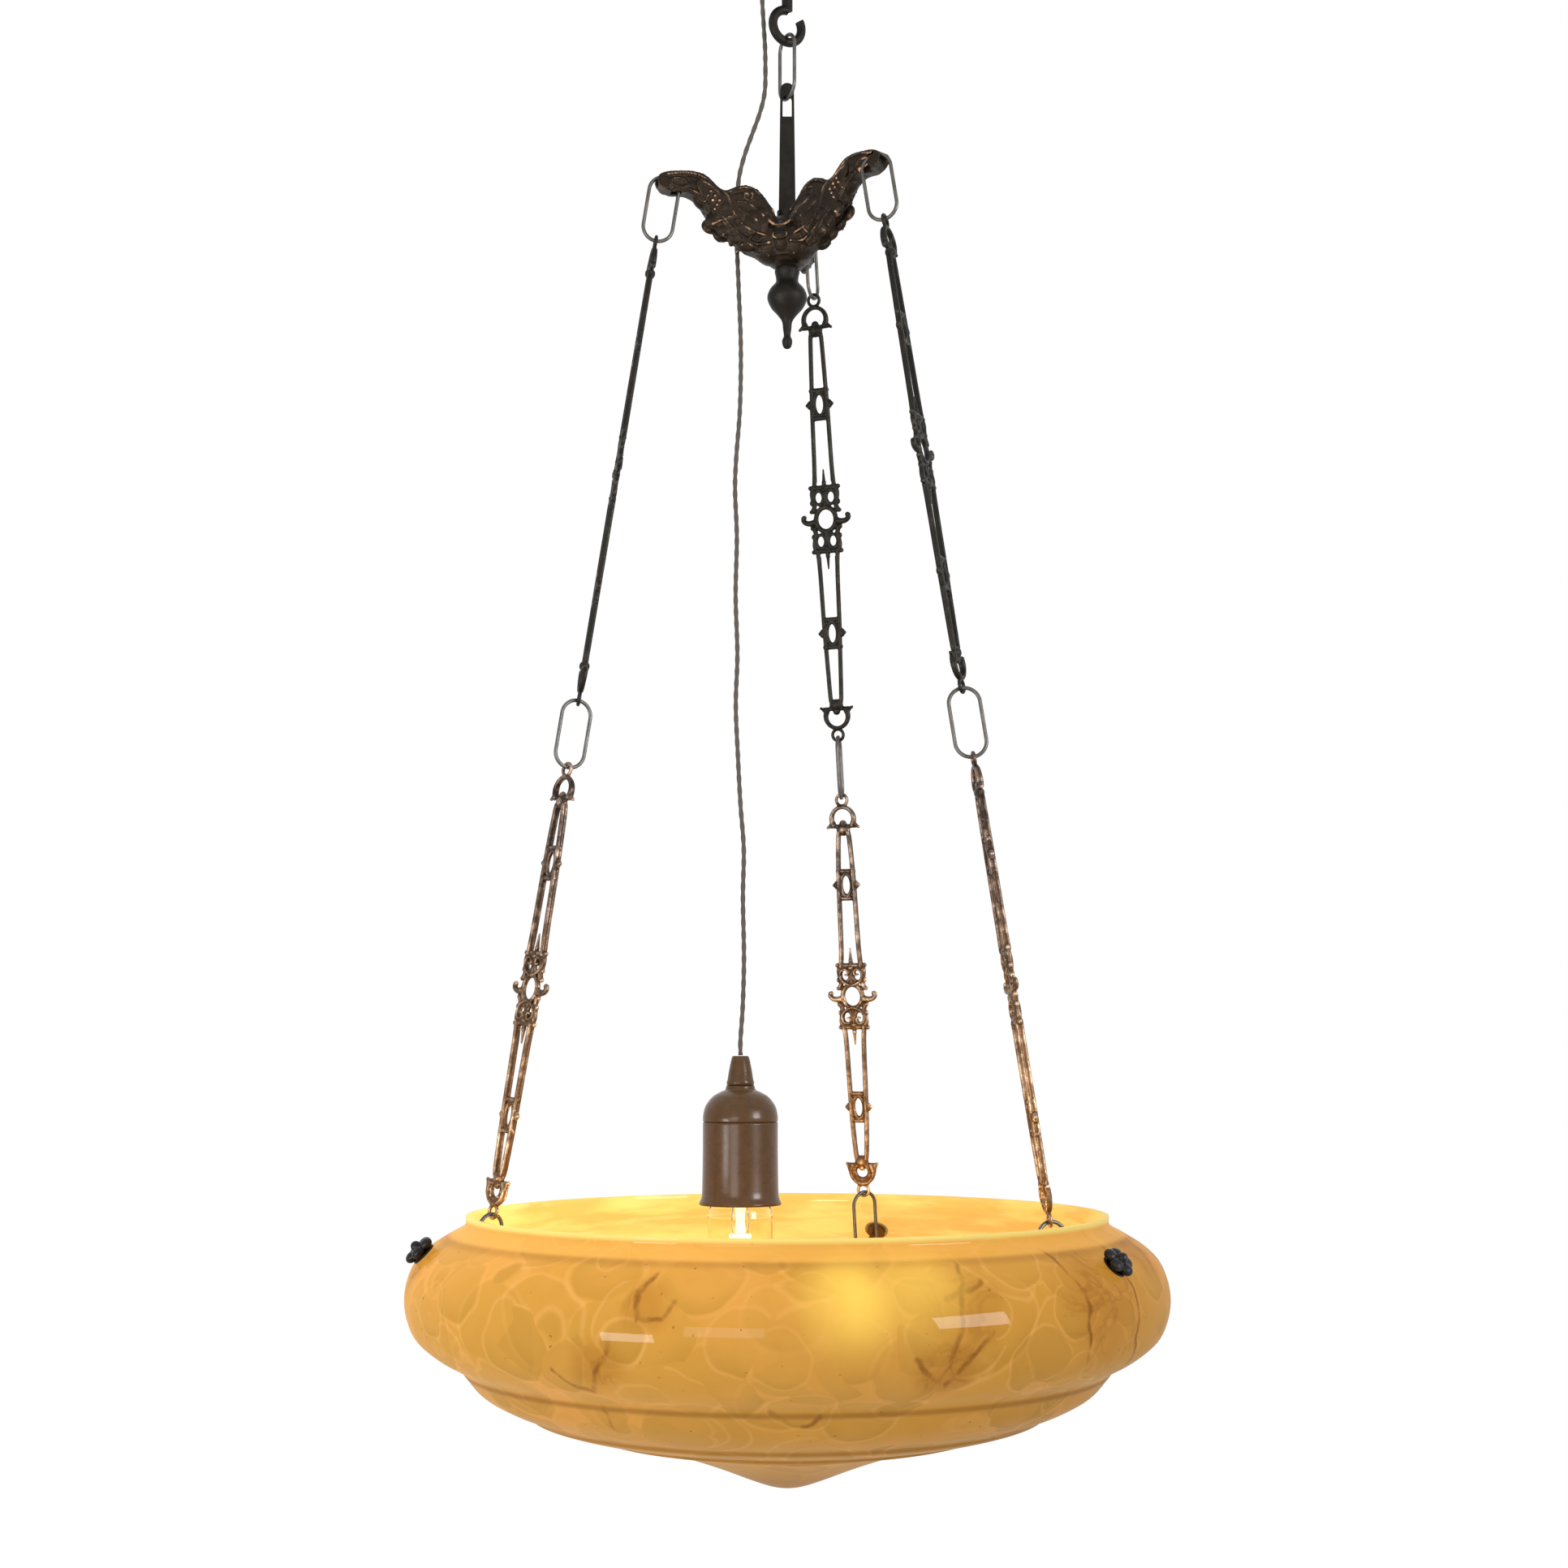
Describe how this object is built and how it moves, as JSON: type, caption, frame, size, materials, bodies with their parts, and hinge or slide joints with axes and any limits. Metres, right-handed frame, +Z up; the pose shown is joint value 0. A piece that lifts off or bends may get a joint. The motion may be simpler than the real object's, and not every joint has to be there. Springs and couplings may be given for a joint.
{
  "type": "bowl pendant light",
  "caption": "Ceiling pendant with a marbled glass bowl on chains of cast openwork bars, a scrolled crown, a ceiling rose and a lampholder that hangs on its own cord inside the bowl",
  "frame": {"origin": "middle of the ceiling plate's upper face, which lies against the ceiling", "axes": "+Z up along the hook's shank, +X to the right seen from the front, +Y away from the front"},
  "size_m": [0.3999, 0.4, 0.8852],
  "materials": {
    "steel": "zinc-plated steel",
    "black_iron": "blackened, slightly worn",
    "dark_bronze": "dark patina with copper edges",
    "copper_bronze": "rubbed patina",
    "rose_metal": "dark bronze lacquer",
    "marbled_glass": "glossy marbled amber glass",
    "clear_glass": "clear",
    "brown_resin": "moulded brown resin, glossy",
    "ceramic": "glazed insulator",
    "brass": "plain brass",
    "nickel": "nickelled",
    "cord": "twisted twin flex, brown-grey",
    "filament": "lit filament"
  },
  "bodies": {
    "fixing": {"ceiling_plate": "steel", "rose_hook": "black_iron", "hook_nut": "steel", "terminal_block": "ceramic", "terminal_screws": "brass", "cord_upper": "cord"},
    "rose": {"ceiling_rose": "rose_metal", "rose_collar": "rose_metal", "collar_screw": "steel", "cord_bush": "cord"},
    "link": {"hanging_link": "black_iron"},
    "pendant": {"hanger_strap": "black_iron", "crown": "dark_bronze", "crown_stud": "steel", "finial": "dark_bronze", "cord_middle": "cord"},
    "chain_1": {"top_link_1": "black_iron", "upper_bar_1": "black_iron", "middle_link_1": "black_iron", "lower_bar_1": "copper_bronze", "bottom_link_1": "copper_bronze"},
    "chain_2": {"top_link_2": "black_iron", "upper_bar_2": "black_iron", "middle_link_2": "black_iron", "lower_bar_2": "copper_bronze", "bottom_link_2": "copper_bronze"},
    "chain_3": {"top_link_3": "black_iron", "upper_bar_3": "black_iron", "middle_link_3": "black_iron", "lower_bar_3": "copper_bronze", "bottom_link_3": "copper_bronze"},
    "bowl": {"glass_bowl": "marbled_glass", "bowl_hook_1": "copper_bronze", "bowl_hook_2": "copper_bronze", "bowl_hook_3": "copper_bronze", "inner_washers": "steel", "outer_washers": "steel"},
    "knob_1": {"rosette_1": "dark_bronze"},
    "knob_2": {"rosette_2": "dark_bronze"},
    "knob_3": {"rosette_3": "dark_bronze"},
    "drop": {"cord_drop": "cord"},
    "holder": {"cord_grip": "brown_resin", "holder_dome": "brown_resin", "holder_body": "brown_resin", "holder_core": "ceramic", "screw_shell": "brass", "centre_contact": "brass", "holder_screws": "brass"},
    "lamp_tip": {"bulb_tip": "nickel"},
    "lamp": {"bulb_cap": "nickel", "bulb_glass": "clear_glass", "bulb_stem": "clear_glass", "bulb_capsule": "clear_glass", "filament": "filament", "lead_wires": "nickel"}
  },
  "joints": [
    {"name": "rose_drop", "type": "slide", "parent": "fixing", "child": "rose", "axis": [0, 0, -1], "range_m": [0, 0.02]},
    {"name": "hook_swing", "type": "hinge", "parent": "fixing", "child": "link", "pos_m": [0, 0, -0.1008], "axis": [0.866, 0.5, 0], "range_deg": [-8, 8]},
    {"name": "strap_swing", "type": "hinge", "parent": "link", "child": "pendant", "pos_m": [0, 0, -0.133], "axis": [-0.5, 0.866, 0], "range_deg": [-8, 8]},
    {"name": "bowl_twist", "type": "hinge", "parent": "pendant", "child": "bowl", "pos_m": [0, 0, -0.742], "axis": [0, 0, 1], "range_deg": [-3, 3]},
    {"name": "chain_lean_1", "type": "hinge", "parent": "pendant", "child": "chain_1", "pos_m": [0.0459, -0.05083, -0.18576], "axis": [0.833, -0.5533, 0], "range_deg": [-0.85, 0.85]},
    {"name": "chain_lean_2", "type": "hinge", "parent": "pendant", "child": "chain_2", "pos_m": [0.01325, 0.06696, -0.18533], "axis": [0.2952, 0.9554, 0], "range_deg": [-0.85, 0.85]},
    {"name": "chain_lean_3", "type": "hinge", "parent": "pendant", "child": "chain_3", "pos_m": [-0.06542, -0.01936, -0.18527], "axis": [-0.9748, -0.2232, 0], "range_deg": [-0.85, 0.85]},
    {"name": "knob_turn_1", "type": "hinge", "parent": "bowl", "child": "knob_1", "pos_m": [0.15752, -0.10625, -0.7605], "axis": [0.5862, -0.3954, 0.7071], "continuous": true},
    {"name": "knob_turn_2", "type": "hinge", "parent": "bowl", "child": "knob_2", "pos_m": [0.05555, 0.1817, -0.7605], "axis": [0.2067, 0.6762, 0.7071], "continuous": true},
    {"name": "knob_turn_3", "type": "hinge", "parent": "bowl", "child": "knob_3", "pos_m": [-0.18513, -0.04274, -0.7605], "axis": [-0.689, -0.1591, 0.7071], "continuous": true},
    {"name": "cord_swing", "type": "hinge", "parent": "pendant", "child": "drop", "pos_m": [-0.0274, 0.002, -0.18515], "axis": [0, 1, 0], "range_deg": [-5, 5]},
    {"name": "holder_tilt", "type": "hinge", "parent": "drop", "child": "holder", "pos_m": [-0.025, 0.002, -0.659], "axis": [1, 0, 0], "range_deg": [-8, 8]},
    {"name": "lamp_travel", "type": "slide", "parent": "holder", "child": "lamp_tip", "axis": [0, 0, -1], "range_m": [0, 0.0182]},
    {"name": "lamp_turn", "type": "hinge", "parent": "lamp_tip", "child": "lamp", "pos_m": [-0.025, 0.002, -0.72], "axis": [0, 0, -1], "range_deg": [0, 1800]}
  ],
  "couplings": [
    {"joint": "chain_lean_1", "follows": "bowl_twist", "ratio": 0.2733},
    {"joint": "chain_lean_2", "follows": "bowl_twist", "ratio": 0.2729},
    {"joint": "chain_lean_3", "follows": "bowl_twist", "ratio": 0.2729},
    {"joint": "lamp_travel", "follows": "lamp_turn", "m_per_rad": 0.00057757}
  ]
}
